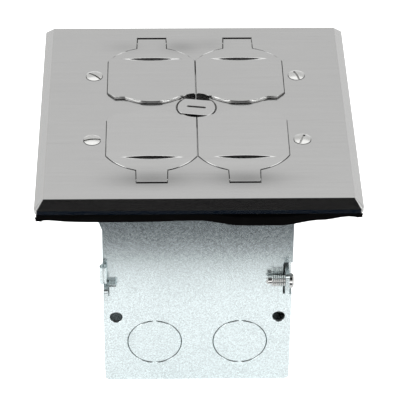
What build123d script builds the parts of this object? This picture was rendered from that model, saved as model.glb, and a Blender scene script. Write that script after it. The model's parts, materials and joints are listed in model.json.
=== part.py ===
from build123d import *

# Floor socket box: a metal cover with four hinged lids round a quarter-turn lock,
# over a steel box made of two ganged device boxes that holds two twin sockets.
# Millimetres. Origin at the bottom centre of the steel box, +X right, +Y back, +Z up.
# The long side of each twin socket runs along X, and the two lie side by side along Y.

import os
from math import cos, radians, sin, sqrt

os.makedirs("parts", exist_ok=True)

# Steel box
box_length = 75.9         # over the two end walls
box_height = 88.9
gang_width = 50.8         # one device box over its side walls
gang_pitch = 46.04        # between the middles of the two sockets
sheet = 1.6               # steel sheet of the box
bend_radius = 2.0         # outside radius of a fold
seam_gap = 0.1            # each shell to the middle of the joint
fit_gap = 0.05            # sheet metal that nests
weld = 0.1                # a piece's own lumps run this far into each other
over = 1.0                # a cutter runs this far past what it cuts
near = 0.01               # an edge is picked when its middle is this close to a place

# Ears that carry the sockets and the cover
screw_span = 83.34        # between the device screws of one socket
ear_reach = 4.8           # from the screw's middle to the end of the ear
ear_width = 14.0
ear_corner = 3.0

# Knockouts and fixing holes
knockout_radius = 11.1
knockout_slit = 0.3
knockout_bridge = 6.0     # degrees of wall left at two ends of a disc
panel_knockout_x = 17.4
knockout_z = 20.2
bottom_knockout_x = -17.4
fixing_hole_radius = 2.55
fixing_hole_x = 32.95
fixing_hole_z = 33.2

# Tabs that join one device box to the next, or hold its side panel
lap_jog = 2.1             # how far the lap tab is set in from its wall
clamp_jog = 1.5
hook_jog = 0.5
tab_bends = (0.35, 0.8)   # shares of its root at which a tab's two bends lie
tab_root = 8.5            # from the wall's edge back to where the tab is lanced
tab_reach = 6.3           # past the side panel's face
tab_corner = 1.4
clamp_tab_z = (49.5, 59.2)
clamp_notch_z = (45.0, 60.9)        # room in the panel to swing the clamp tab through
clamp_screw_z = 53.8      # height of the clamp screw across the panel
hook_tab_z = (45.0, 52.2)
hook_loop_reach = 3.6
hook_loop_height = 1.4
hook_loop_width = 2.3
hook_loop_sheet = 0.4
curl_z = (52.9, 61.0)
curl_radius = 1.55
curl_sheet = 0.8
curl_offset = 0.3         # from the wall's face to the roll's middle
curl_mouth = (25.0, 60.0)           # degrees, its direction and its width
notch_gap = 0.3
lance_gap = 0.6

# Panel's upper left corner, turned out a little
flare_out = 1.4
flare_drop = (6.9, 11.3)  # below the box's top

# Clamp and lap screws of the gang joints
clamp_screw_radius = 2.4
clamp_screw_tip = (1.5, 2.2)        # radius and length of the pilot point
clamp_screw_inset = 8.4             # outer face of the end wall to the shank's end
clamp_head = (3.0, 1.8)             # radius and thickness
clamp_slot = (0.9, 0.8)             # width and depth
head_edge = 0.6                     # chamfer round the heads
tip_edge = 0.9
lap_screw_radius = 1.7
lap_head = (3.2, 1.5)
lap_reach = 9.0                     # lap tab past the middle of the box
lap_screw_y = 5.2
lap_play = 0.2                      # round the lap screw in the tab that it draws in

# Return lugs that locate a side panel inside its shell
lug_width = 12.0
lug_depth = 7.0
lug_x = 24.0
upper_lug_drop = (6.9, 14.9)        # below the box's top

# Earth screw in the bottom of each shell
earth_x = 17.4
earth_dimple = (5.6, 3.0)           # radius and rise
earth_screw_radius = 2.4
earth_head = (4.6, 2.6)
earth_screw_length = 4.2

# Floor gasket and cover
gasket_thickness = 3.8
gasket_inset = 0.6
gasket_strip = (12.55, 10.4)        # its width at the sides, and at the front and back
gasket_room = 2.0         # left at least round the ears
cover_size = (126.3, 129.0)
cover_thickness = 4.9
cover_shift_y = -1.15     # the cover's middle, seen from the middle of its lids
bevel_width = 3.4
bevel_drop = 3.2
cover_corner = 2.0
flat_corner = 0.5
lid_room = 4.6            # between the outlets and the closed lids

# Lids, each given by its outline in the quarter right of and behind the middle
lid_pitch = 36.12         # between the middles of two neighbouring lids
lid_width = 36.2
lid_gap = 0.2
lid_thickness = 2.8
outer_arc = (24.0, 20.7)            # middle and radius of the edge beside the hinge
inner_arc = (22.0, 19.7)            # middle and radius of the edge beside the bar
inner_flat_y = 5.85
corner_cut = (3.0, 3.55)
tab_half_widths = (6.45, 6.1)       # at its root and at its end
tab_slot_end = 52.15
tab_end_gap = 0.85
finger_groove = (35.3, 18.2, 11.6, 1.0)   # y, x, half its length, depth
finger_groove_width = (2.3, 0.4)          # at the face and at the bottom

# Hinges
hinge_y = 48.9
hinge_depth = 1.3
pin_radius = 0.75
pin_clearance = 0.05
pin_seat = 3.2            # pin held in the cover at each side
pin_seat_clearance = 0.02
barrel_radius = 2.0
lifted_angle = 1.4        # the lids stand this far open at rest, on their seals

# Rim under each lid and its seal
rim_width = 1.7
rim_thickness = 1.4
seal_inset = 0.4
seal_width = 2.0
seal_gap = 0.1

# Lock in the middle of the cover
lock_radius = 7.75
lock_flat = 5.3           # from the middle to each of the disc's two flats
lock_proud = 0.1
lock_disc = 3.2
lock_edge = 0.3
lock_well_radius = 8.25
lock_boss_radius = 8.0
lock_well_floor = 0.1     # under the disc
spindle_radius = 3.2
spindle_clearance = 0.05
spindle_square = 3.6
lock_slot = (8.0, 1.2, 1.3)         # length, width, depth
lock_angle = -8.8
cam_reach = 11.0
cam_half_width = 4.9
cam_hub_radius = 6.1
cam_sheet = 0.8
keeper_sheet = 0.8
keeper_x = (2.6, 5.6)
keeper_y = (9.2, 12.3, 19.0)        # foot's edge, post, end of the flange
keeper_drop = 5.5         # from the lid down to the foot's underside
keeper_clearance = 1.1    # lets the cam pass over the feet of lids that stand on their seals
lock_screw = (1.5, 3.0, 1.4, 4.4)   # shank radius, head radius, head height, depth of its hole
lock_screw_play = 0.3               # left at the bottom of the hole
rivet_radius = 1.1

# Cover screws
cover_screw_radius = 1.7
cover_screw_head = (3.55, 1.9, 0.6)  # radius, depth of the cone, rise of the crown
cover_screw_crown = 2.2
cover_screw_grip = 6.7    # thread below the top of the ear
cover_screw_hole = 2.0
cover_screw_slot = (0.9, 1.0)
screw_slot_angles = {"front_left": 6.5, "front_right": 70.0, "back_left": -42.0, "back_right": -71.0}

# Twin sockets
strap_sheet = 1.4
strap_length = 92.0
strap_end_width = 15.0
strap_width = 30.0
strap_shoulder = 35.5
strap_hole = 2.1
outlet_pitch = 38.9
outlet_across_flats = 28.6
outlet_diameter = 34.1
outlet_rise = 5.5         # above the strap
outlet_edge = 0.7
window_size = (25.0, 25.0)
window_corner = 2.0
face_length = 68.0
face_width = 33.0
face_land = 1.6
face_plug = 2.6           # below the strap's top, through its windows
body_depth = 23.0
body_wall = 2.0
body_corner = 2.5
body_foot_edge = 1.2
mount_screw_hole = 1.8
blade_spacing = 12.7
blade_slots = ((8.9, 2.4), (7.2, 2.4))    # neutral and live, length and width
earth_hole = (2.45, 11.9)                 # radius and distance from the blades
earth_clip_radius = 2.9
blade_offset = -3.9
contact_sheet = 0.8
contact_height = 15.0
contact_jaw = 1.5         # half the gap between a pair of jaws
contact_room = 0.6        # beside a contact in its channel
contact_tail = 6.0        # a strip runs this far past its outlets
jaw_half_length = 4.5
clip_slit = 1.2
terminal_x = 9.5
terminal_recess = (9.5, 9.0, 3.5)
terminal_screw = (1.9, 3.5, 2.2, 6.5)     # shank and head radius, head height, length
terminal_lift = 1.0                       # backed off its seat, ready for a wire
terminal_slot = (0.9, 0.8)

# Levels and places that follow from the sizes above
half_length = box_length / 2
inner_x = half_length - sheet
side_y = gang_pitch / 2 + gang_width / 2
shell_edge_y = side_y - sheet - fit_gap
socket_y = gang_pitch / 2
screw_x = screw_span / 2
strap_top = box_height + strap_sheet
outlet_top = strap_top + outlet_rise
lid_bottom = outlet_top + lid_room
cover_height = lid_bottom + lid_thickness
cover_bottom = cover_height - cover_thickness
rim_top = cover_bottom + rim_thickness
hinge_z = cover_height - hinge_depth
lid_x = lid_pitch / 2
disc_bottom = cover_height + lock_proud - lock_disc
keeper_foot_z = lid_bottom - keeper_drop
cam_bottom = keeper_foot_z + keeper_sheet + keeper_clearance
cam_top = cam_bottom + cam_sheet
quarters = {"front_left": (-1, -1), "front_right": (1, -1), "back_left": (-1, 1), "back_right": (1, 1)}
gangs = {"front": -1, "back": 1}


def block(x, y, z):
    """Box between the two ends given for each axis."""
    size = [abs(b - a) for a, b in (x, y, z)]
    middle = [(a + b) / 2 for a, b in (x, y, z)]
    return Pos(*middle) * Box(*size)


def area(x, y):
    """Rectangle between the two ends given for each axis."""
    return Pos(sum(x) / 2, sum(y) / 2) * Rectangle(abs(x[1] - x[0]), abs(y[1] - y[0]))


def rod(radius, low, high, x=0.0, y=0.0):
    """Upright cylinder between two heights."""
    return Pos(x, y, (low + high) / 2) * Cylinder(radius, high - low)


def rod_x(radius, start, end, y, z):
    """Cylinder along X."""
    turned = Rot(0, 90, 0) * Cylinder(radius, abs(end - start))
    return Pos((start + end) / 2, y, z) * turned


def rod_y(radius, start, end, x, z):
    """Cylinder along Y."""
    turned = Rot(90, 0, 0) * Cylinder(radius, abs(end - start))
    return Pos(x, (start + end) / 2, z) * turned


def plan(sketch, low, high):
    """Solid that stands on a plan between two heights."""
    return Pos(0, 0, low) * extrude(sketch, amount=high - low, dir=(0, 0, 1))


def to_quarter(shape, quarter):
    """Mirror a shape from the right-hand back quarter into another one."""
    side_x, side_y_sign = quarters[quarter]
    if side_x < 0:
        shape = mirror(shape, about=Plane.YZ)
    if side_y_sign < 0:
        shape = mirror(shape, about=Plane.XZ)
    return shape


def to_gang(shape, gang):
    """Turn a shape made for the front gang half round for the back one."""
    return shape if gang == "front" else Rot(0, 0, 180) * shape


def save(name, shape):
    """Write one sub-part, as one solid or a group of separate ones."""
    parts = shape if isinstance(shape, list) else [shape]
    solids = [solid for part in parts for solid in part.solids()]
    part = solids[0] if len(solids) == 1 else Compound(children=solids)
    part.label = name
    export_step(part, f"parts/{name}.step")


# Steel box

def knockout_ring():
    """Slit round a knockout, broken by two bridges, as a cutter that stands on XY."""
    ring = Circle(knockout_radius) - Circle(knockout_radius - knockout_slit)
    bridge = 2 * knockout_radius * sin(radians(knockout_bridge / 2))
    ring -= Rectangle(bridge, 3 * knockout_radius)
    return extrude(ring, amount=2 * sheet, both=True)


def jogged_tab(sign, root_y, end_y, z_range, jog):
    """Tab lanced from an end wall's edge and set in, so that it passes inside the next sheet."""
    toward = 1 if end_y > root_y else -1
    straight, settled = (root_y + toward * tab_root * share for share in tab_bends)
    points = [
        (sign * half_length, root_y), (sign * half_length, straight),
        (sign * (half_length - jog), settled), (sign * (half_length - jog), end_y),
        (sign * (inner_x - jog), end_y), (sign * (inner_x - jog), settled),
        (sign * inner_x, straight), (sign * inner_x, root_y),
    ]
    tab = plan(Polygon(*points, align=None), *z_range)
    ends = tab.edges().filter_by(Axis.X).filter_by(lambda e: abs(e.center().Y - end_y) < near)
    return fillet(ends, tab_corner)


def hook_curl():
    """Strip of the left end wall that passes the panel and is rolled into an open tube."""
    ring = Circle(curl_radius) - Circle(curl_radius - curl_sheet)
    reach = 2 * curl_radius
    turn, width = curl_mouth
    half = radians(width / 2)
    mouth = Polygon((0, 0), (reach * cos(half), reach * sin(half)),
                    (reach * cos(half), -reach * sin(half)), align=None)
    ring -= Rot(0, 0, turn) * mouth
    middle_y = -side_y - fit_gap - curl_radius
    roll = Pos(-half_length + curl_offset, middle_y, 0) * plan(ring, *curl_z)
    strip_y = (middle_y + curl_radius - curl_sheet / 2, -shell_edge_y + tab_root + weld)
    return roll + block((-half_length, -half_length + curl_sheet), strip_y, curl_z)


def hook_loop():
    """Small tongue looped out of the hook tab, which lies on the panel's face and traps it."""
    root_x = -inner_x + hook_jog
    length = hook_loop_reach + hook_loop_height
    outer = SlotOverall(length, hook_loop_height)
    inner = SlotOverall(length - 2 * hook_loop_sheet, hook_loop_height - 2 * hook_loop_sheet)
    loop = extrude(Plane.XZ * (outer - inner), amount=hook_loop_width / 2, both=True)
    loop = Pos(root_x + hook_loop_reach - length / 2, -side_y - fit_gap - hook_loop_width / 2,
               hook_tab_z[1] - hook_loop_height / 2) * loop
    return loop & block((root_x - weld, root_x + length), (-2 * side_y, 0), hook_tab_z)


def earth_boss():
    """Dimple raised in the bottom for the earth screw, with its hollow."""
    radius, rise = earth_dimple
    boss = rod(radius, 0, sheet + rise, earth_x, -socket_y)
    rim = boss.edges().filter_by(GeomType.CIRCLE).sort_by(Axis.Z)[-1]
    hollow = rod(radius - sheet, 0, rise, earth_x, -socket_y)
    bore = rod(earth_screw_radius + pin_seat_clearance, 0, 2 * rise, earth_x, -socket_y)
    return chamfer(rim, sheet / 2), hollow + bore


def ear(sign):
    """Ear folded out of an end wall, with the tapped hole for the device screw."""
    end = sign * (screw_x + ear_reach)
    plate = block((sign * inner_x, end), (-socket_y - ear_width / 2, -socket_y + ear_width / 2),
                  (box_height - sheet, box_height))
    corners = plate.edges().filter_by(Axis.Z).filter_by(lambda e: abs(e.center().X - end) < near)
    plate = fillet(corners, ear_corner)
    return plate - rod(cover_screw_radius + pin_seat_clearance, 0, 2 * box_height, sign * screw_x, -socket_y)


def box_shell():
    """Bottom and end walls of the front device box, folded from one strip."""
    y_range = (-shell_edge_y, -seam_gap / 2)
    outer = block((-half_length, half_length), y_range, (0, box_height))
    folds = outer.edges().filter_by(Axis.Y).filter_by(lambda e: e.center().Z < near)
    outer = fillet(folds, bend_radius)
    inner = block((-inner_x, inner_x), (-2 * side_y, side_y), (sheet, 2 * box_height))
    folds = inner.edges().filter_by(Axis.Y).filter_by(lambda e: e.center().Z < sheet + near)
    shell = outer - fillet(folds, bend_radius - sheet)

    # Lanced windows round the tabs, then the tabs, each down its own wall
    root = -shell_edge_y + tab_root
    hook_z = (hook_tab_z[0] - lance_gap, curl_z[1] + lance_gap)
    shell -= block((inner_x - over, half_length + over), (-side_y, root), clamp_notch_z)
    shell -= block((-half_length - over, -inner_x + over), (-side_y, root), hook_z)
    end_y = -side_y - tab_reach
    shell += jogged_tab(1, root, end_y, clamp_tab_z, clamp_jog)
    shell += jogged_tab(-1, root, end_y, hook_tab_z, hook_jog) + hook_curl() + hook_loop()

    # Lap tab that goes inside the other shell, and the tapped hole for that shell's tab
    lap_root = -seam_gap / 2 - tab_root
    lap_window_z = (clamp_tab_z[0] - lance_gap, clamp_tab_z[1] + lance_gap)
    shell -= block((-half_length - over, -inner_x + over), (lap_root, over), lap_window_z)
    shell += jogged_tab(-1, lap_root, lap_reach, clamp_tab_z, lap_jog)
    lap_z = sum(clamp_tab_z) / 2
    lap_hole = lap_screw_radius + pin_seat_clearance
    lap_end = -inner_x + lap_jog + over
    shell -= rod_x(lap_hole + lap_play, -half_length - over, lap_end, lap_screw_y, lap_z)
    shell -= rod_x(lap_hole, inner_x - over, half_length + over, -lap_screw_y, lap_z)
    clamp_y = -side_y - clamp_screw_radius - fit_gap
    clamp_hole = clamp_screw_radius + pin_seat_clearance
    shell -= rod_x(clamp_hole, inner_x - clamp_jog - over, half_length, clamp_y, clamp_screw_z)

    boss, hollow = earth_boss()
    shell = shell + boss - hollow
    for sign in (1, -1):
        shell += ear(sign)
        wall_ring = Rot(0, 90, 0) * knockout_ring()
        shell -= Pos(sign * (half_length - sheet / 2), -socket_y, knockout_z) * wall_ring
    shell -= Pos(bottom_knockout_x, -socket_y, sheet / 2) * knockout_ring()
    return shell


def side_panel():
    """Loose side of the front device box, trapped between hook and clamp screw."""
    panel = block((-half_length, half_length), (-side_y, -side_y + sheet), (0, box_height))
    corners = panel.edges().filter_by(Axis.Y)
    panel = fillet(corners, bend_radius)
    flare_top, flare_end = (box_height - drop for drop in flare_drop)
    flare = Polygon((0, flare_end), (-flare_out, flare_top), (-flare_out, box_height - bend_radius),
                    (0, box_height - bend_radius), align=None)
    panel += Pos(-half_length, -side_y + sheet, 0) * extrude(Plane.XZ * flare, amount=sheet, dir=(0, -1, 0))
    y_cut = (-side_y - over, -side_y + sheet + over)
    panel -= block((inner_x - clamp_jog - lance_gap, half_length + over), y_cut, clamp_notch_z)
    notches = ((-inner_x + hook_jog, hook_tab_z), (-half_length + curl_sheet, curl_z))
    for x, (low, high) in notches:
        panel -= block((-half_length - over, x + notch_gap), y_cut, (low - notch_gap, high + notch_gap))
    y_lug = (-side_y + sheet, -side_y + sheet + lug_depth)
    for x in (-lug_x, lug_x):
        z_lug = (sheet + fit_gap, 2 * sheet + fit_gap)
        panel += block((x - lug_width / 2, x + lug_width / 2), y_lug, z_lug)
    for sign in (-1, 1):
        x_lug = (sign * (inner_x - fit_gap - sheet), sign * (inner_x - fit_gap))
        panel += block(x_lug, y_lug, [box_height - drop for drop in upper_lug_drop])
    for sign in (-1, 1):
        ring = Pos(sign * panel_knockout_x, -side_y + sheet / 2, knockout_z) * Rot(90, 0, 0) * knockout_ring()
        panel -= ring
        panel -= rod_y(fixing_hole_radius, *y_cut, sign * fixing_hole_x, fixing_hole_z)
    return panel


def clamp_screw():
    """Screw through the clamp tab, lying across the side panel to trap it."""
    y = -side_y - clamp_screw_radius - fit_gap
    head_radius, head_height = clamp_head
    tab_face = half_length - clamp_jog
    end = half_length - clamp_screw_inset
    tip_radius, tip_length = clamp_screw_tip
    shank = rod_x(clamp_screw_radius, end, tab_face + weld, y, clamp_screw_z)
    head = rod_x(head_radius, tab_face, tab_face + head_height, y, clamp_screw_z)
    rim = head.edges().filter_by(GeomType.CIRCLE).sort_by(Axis.X)[-1]
    head = chamfer(rim, head_edge)
    tip = rod_x(tip_radius, end - tip_length, end + weld, y, clamp_screw_z)
    rim = tip.edges().filter_by(GeomType.CIRCLE).sort_by(Axis.X)[0]
    tip = chamfer(rim, tip_edge)
    width, depth = clamp_slot
    face = tab_face + head_height
    slot = block((face - depth, face + depth), (y - width / 2, y + width / 2),
                 (clamp_screw_z - 2 * head_radius, clamp_screw_z + 2 * head_radius))
    return shank + head + tip - slot


def lap_screw():
    """Screw that draws the front shell's lap tab to the back shell's wall."""
    z = sum(clamp_tab_z) / 2
    inside = -inner_x + lap_jog
    head_radius, head_height = lap_head
    shank = rod_x(lap_screw_radius, -half_length, inside + weld, lap_screw_y, z)
    head = rod_x(head_radius, inside, inside + head_height, lap_screw_y, z)
    rim = head.edges().filter_by(GeomType.CIRCLE).sort_by(Axis.X)[-1]
    head = chamfer(rim, head_edge)
    width, depth = clamp_slot
    face = inside + head_height
    slot = block((face - depth, face + depth), (lap_screw_y - width / 2, lap_screw_y + width / 2),
                 (z - 2 * head_radius, z + 2 * head_radius))
    return shank + head - slot


def earth_screw():
    """Slotted hexagon screw in the bottom's dimple."""
    radius, rise = earth_dimple
    seat = sheet + rise
    head_radius, head_height = earth_head
    head = Pos(earth_x, -socket_y, 0) * plan(RegularPolygon(head_radius, 6), seat, seat + head_height)
    head &= rod(head_radius, 0, seat + head_height, earth_x, -socket_y)
    shank = rod(earth_screw_radius, seat - earth_screw_length, seat + weld, earth_x, -socket_y)
    width, depth = clamp_slot
    slot = block((earth_x - 2 * head_radius, earth_x + 2 * head_radius),
                 (-socket_y - width / 2, -socket_y + width / 2),
                 (seat + head_height - depth, seat + head_height + depth))
    return head + shank - slot


# Cover and lids

def lid_outline(gap, tab=True, notch=None):
    """Plan of one lid's opening, drawn in by a gap all round."""
    arc_y, arc_radius = outer_arc
    bulge_y, bulge_radius = inner_arc
    left, right = gap, lid_width - gap
    bottom, top = inner_flat_y + gap, arc_y + arc_radius
    beside_lock = lock_well_radius * bulge_y / sqrt(lid_x ** 2 + bulge_y ** 2)
    face = area((left, lid_x), (beside_lock + gap, top)) + area((lid_x, right), (bottom, top))
    face += (Pos(lid_x, bulge_y) * Circle(bulge_radius - gap)) & area((left, right), (0, bulge_y))
    face &= (Pos(lid_x, arc_y) * Circle(arc_radius - gap)) + area((left, right), (0, arc_y))
    cut_x, cut_y = corner_cut
    slant = Vector(cut_x, cut_y).normalized()
    inward = Vector(-slant.Y, slant.X) * gap
    start = Vector(lid_width - cut_x, inner_flat_y) + inward - slant * lid_width
    end = start + slant * 3 * lid_width
    face -= Polygon((start.X, start.Y), (end.X, end.Y), (3 * lid_width, -lid_width), align=None)
    face -= Circle(lock_well_radius + gap if notch is None else notch)
    if tab:
        root, end = tab_half_widths
        tab_top = tab_slot_end - (tab_end_gap if gap > 0 else 0)
        tab_low = arc_y + arc_radius / 2
        face += Polygon((lid_x - root + gap, tab_low), (lid_x + root - gap, tab_low),
                        (lid_x + end - gap, tab_top), (lid_x - end + gap, tab_top), align=None)
    return face


def finger_groove_cutter():
    """Thin bevelled disc that leaves the groove with tapered ends."""
    y, x, half, depth = finger_groove
    radius = (half ** 2 + depth ** 2) / (2 * depth)
    wide, narrow = (w / 2 for w in finger_groove_width)
    profile = Polygon((0, -wide), (radius - depth, -wide), (radius, -narrow),
                      (radius, narrow), (radius - depth, wide), (0, wide), align=None)
    disc = revolve(profile, Axis.Y)
    return Pos(x, y, cover_height + radius - depth) * disc


def lid():
    """One lid with its hinge barrel, closed, in the right-hand back quarter."""
    shape = plan(lid_outline(lid_gap), lid_bottom, cover_height)
    half = min(tab_half_widths) - lid_gap
    barrel = rod_x(barrel_radius, lid_x - half, lid_x + half, hinge_y, hinge_z)
    shape += barrel & block((0, lid_width), (hinge_y - barrel_radius, hinge_y + barrel_radius),
                            (0, cover_height))
    shape -= rod_x(pin_radius + pin_clearance, 0, lid_width, hinge_y, hinge_z)
    return shape - finger_groove_cutter()


def lid_seal():
    """Flat rubber ring under a lid, which the rim of the cover meets."""
    ring = lid_outline(seal_inset, tab=False) - lid_outline(seal_inset + seal_width, tab=False)
    return plan(ring, lid_bottom - (lid_bottom - rim_top - seal_gap), lid_bottom)


def lid_keeper():
    """Bracket under a lid's inner corner, whose foot the lock's cam holds down."""
    foot, post, end = keeper_y
    flange = block(keeper_x, (post - keeper_sheet, end), (lid_bottom - keeper_sheet, lid_bottom))
    upright = block(keeper_x, (post - keeper_sheet, post), (keeper_foot_z, lid_bottom))
    toe = block(keeper_x, (foot, post), (keeper_foot_z, keeper_foot_z + keeper_sheet))
    middle = sum(keeper_x) / 2
    rivet = rod(rivet_radius, lid_bottom - 2 * keeper_sheet, lid_bottom, middle, (post + end) / 2)
    return flange + upright + toe + rivet


def hinge_pin():
    """Pin along X through the lid's barrel and a little way into the cover."""
    reach = max(tab_half_widths) + pin_seat
    return rod_x(pin_radius, lid_x - reach, lid_x + reach, hinge_y, hinge_z)


def cover_blank():
    """Bevelled plate before anything is cut in it."""
    width, depth = cover_size
    shoulder = cover_height - bevel_drop
    outline = RectangleRounded(width, depth, cover_corner)
    flat = RectangleRounded(width - 2 * bevel_width, depth - 2 * bevel_width, flat_corner)
    rim = plan(outline, cover_bottom, shoulder)
    bevel = loft([Pos(0, 0, shoulder) * outline.face(), Pos(0, 0, cover_height) * flat.face()], ruled=True)
    return Pos(0, cover_shift_y, 0) * (rim + bevel)


def cover_screw_cutter(grow):
    """Room for the cone of one cover screw."""
    radius, cone, _ = cover_screw_head
    return Pos(0, 0, cover_height - cone / 2) * Cone(cover_screw_radius + grow, radius + grow, cone)


def cover_plate():
    """Cover with its four lid openings, rims, hinge saddles and the boss of the lock."""
    plate = cover_blank()
    opening = lid_outline(0)
    through = lid_outline(rim_width, tab=False, notch=lock_boss_radius)
    root, _ = tab_half_widths
    through += area((lid_x - root, lid_x + root), (outer_arc[0], tab_slot_end)) & opening
    pocket = plan(opening, rim_top, cover_height + over)
    well = plan(through, cover_bottom - over, cover_height)
    reach = max(tab_half_widths) + pin_seat
    saddle = rod_x(pin_radius + pin_seat_clearance, lid_x - reach, lid_x + reach, hinge_y, hinge_z)
    saddle += block((lid_x - reach, lid_x + reach),
                    (hinge_y - pin_radius - pin_seat_clearance, hinge_y + pin_radius + pin_seat_clearance),
                    (cover_bottom - over, hinge_z))
    screw = rod(cover_screw_hole, cover_bottom - over, cover_height, screw_x, socket_y)
    screw += Pos(screw_x, socket_y, 0) * cover_screw_cutter(fit_gap)
    cut = pocket + well + saddle + screw
    for quarter in quarters:
        plate -= to_quarter(cut, quarter)
    boss_top = disc_bottom - lock_well_floor
    plate += rod(lock_boss_radius, cover_bottom, boss_top)
    plate -= rod(lock_well_radius, boss_top, cover_height + over)
    return plate - rod(spindle_radius + spindle_clearance, 0, cover_height)


def floor_gasket():
    """Foam ring between the cover and the floor."""
    width, depth = cover_size
    outline = RectangleRounded(width - 2 * gasket_inset, depth - 2 * gasket_inset, cover_corner)
    hole = RectangleRounded(width - 2 * (gasket_inset + gasket_strip[0]),
                            depth - 2 * (gasket_inset + gasket_strip[1]), cover_corner)
    ear_end = screw_x + ear_reach + gasket_room
    half_ear = ear_width / 2 + gasket_room
    for y in (-socket_y - cover_shift_y, socket_y - cover_shift_y):
        hole += area((-ear_end, ear_end), (y - half_ear, y + half_ear))
    return Pos(0, cover_shift_y, 0) * plan(outline - hole, cover_bottom - gasket_thickness, cover_bottom)


def lock_spindle():
    """Slotted disc with two flats, on the spindle that turns in the cover's boss."""
    disc = rod(lock_radius, disc_bottom, cover_height + lock_proud)
    rim = disc.edges().filter_by(GeomType.CIRCLE).sort_by(Axis.Z)[-1]
    disc = chamfer(rim, lock_edge)
    top = cover_height + lock_proud
    disc &= block((-lock_radius, lock_radius), (-lock_flat, lock_flat), (disc_bottom, top))
    length, width, depth = lock_slot
    disc -= plan(SlotOverall(length, width), top - depth, top + depth)
    spindle = rod(spindle_radius, cam_top, disc_bottom + weld)
    square = plan(Rectangle(spindle_square, spindle_square), cam_bottom, cam_top + weld)
    shape = disc + spindle + square - rod(lock_screw[0], 0, cam_bottom + lock_screw[3])
    return Rot(0, 0, lock_angle) * shape


def lock_cam():
    """Two-lobed plate that swings over the feet of the keepers."""
    lobes = Rectangle(2 * cam_reach, 2 * cam_half_width) & Circle(cam_reach)
    lobes += Circle(cam_hub_radius)
    hole = Rectangle(spindle_square + 2 * fit_gap, spindle_square + 2 * fit_gap)
    return Rot(0, 0, lock_angle) * plan(lobes - hole, cam_bottom, cam_top)


def lock_washer():
    """Washer between the boss and the cam that keeps the lock from rattling."""
    ring = Circle(cam_hub_radius) - Circle(spindle_radius + spindle_clearance)
    return plan(ring, cam_top + fit_gap, cover_bottom - fit_gap)


def lock_screw_part():
    """Pan head screw that holds the cam on the spindle."""
    shank, head_radius, head_height, length = lock_screw
    head = rod(head_radius, cam_bottom - head_height, cam_bottom)
    rim = head.edges().filter_by(GeomType.CIRCLE).sort_by(Axis.Z)[0]
    head = chamfer(rim, head_edge)
    return head + rod(shank - pin_seat_clearance, cam_bottom - weld, cam_bottom + length - lock_screw_play)


def cover_screw(quarter):
    """Oval head screw that holds cover, socket and box together."""
    radius, cone, rise = cover_screw_head
    head = Pos(0, 0, cover_height - cone / 2) * Cone(cover_screw_radius, radius, cone)
    head += Pos(0, 0, cover_height + rise / 2) * Cone(radius, cover_screw_crown, rise)
    head += rod(cover_screw_radius, box_height - cover_screw_grip, cover_height - cone + weld)
    width, depth = cover_screw_slot
    top = cover_height + rise
    slot = block((-2 * radius, 2 * radius), (-width / 2, width / 2), (top - depth, top + depth))
    screw = Rot(0, 0, screw_slot_angles[quarter]) * (head - slot)
    side_x, side_y_sign = quarters[quarter]
    return Pos(side_x * screw_x, side_y_sign * socket_y, 0) * screw


# Twin sockets, each made for the front gang

def outlet_plan(grow=0.0):
    """Round outlet face with two flats, about its own middle."""
    return Circle(outlet_diameter / 2 + grow) & Rectangle(outlet_across_flats + 2 * grow, 2 * outlet_diameter)


def blade_positions():
    """Middles of the two blade slots and of the earth hole in one outlet."""
    x = blade_offset
    return (x, -blade_spacing / 2), (x, blade_spacing / 2), (x + earth_hole[1], 0)


def outlet_cutter():
    """Blade slots and earth hole of one outlet, through the face."""
    neutral, live, earth = blade_positions()
    holes = Pos(*neutral) * Rectangle(*blade_slots[0])
    holes += Pos(*live) * Rectangle(*blade_slots[1])
    holes += Pos(*earth) * Circle(earth_hole[0])
    return plan(holes, 0, 2 * box_height)


def socket_strap():
    """Steel strap that carries the socket on the box's ears."""
    face = Rectangle(strap_length, strap_end_width) + Rectangle(2 * strap_shoulder, strap_width)
    strap = plan(face, box_height, strap_top)
    end = strap_length / 2
    corners = strap.edges().filter_by(Axis.Z).filter_by(lambda e: abs(abs(e.center().X) - end) < near)
    strap = fillet(corners, ear_corner)
    window = RectangleRounded(*window_size, window_corner)
    for sign in (-1, 1):
        strap -= plan(Pos(sign * outlet_pitch / 2, 0) * window, 0, 2 * box_height)
        strap -= rod(strap_hole, 0, 2 * box_height, sign * screw_x)
    strap -= rod(mount_screw_hole, 0, 2 * box_height)
    return Pos(0, -socket_y, 0) * strap


def socket_face():
    """Moulded face: two outlets on a land, with plugs that go through the strap."""
    face = plan(RectangleRounded(face_length, face_width, body_corner), strap_top, strap_top + face_land)
    for sign in (-1, 1):
        spot = Pos(sign * outlet_pitch / 2, 0)
        raised = plan(outlet_plan(), strap_top, outlet_top)
        rim = raised.faces().sort_by(Axis.Z)[-1].edges()
        face += spot * chamfer(rim, outlet_edge)
        plug = RectangleRounded(*(size - 2 * fit_gap for size in window_size), window_corner - fit_gap)
        face += spot * plan(plug, strap_top - face_plug, strap_top)
    for sign in (-1, 1):
        face -= Pos(sign * outlet_pitch / 2, 0) * outlet_cutter()
    face -= rod(mount_screw_hole, 0, 2 * box_height)
    return Pos(0, -socket_y, 0) * face


def contact_channels():
    """Rooms in the body for the live, neutral and earth contacts."""
    floor = box_height - body_depth + body_wall
    width = 2 * (contact_jaw + contact_sheet + contact_room)
    length = face_length - 4 * body_wall
    rooms = []
    clip = earth_clip_radius + fit_gap
    for y in (-blade_spacing / 2, blade_spacing / 2):
        rooms.append(block((-length / 2, length / 2), (y - width / 2, y + width / 2), (floor, strap_top)))
    for sign in (-1, 1):
        x = sign * outlet_pitch / 2 + blade_offset + earth_hole[1]
        rooms.append(block((x - clip, x + clip), (-clip, clip), (floor, strap_top)))
    return rooms


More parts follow.
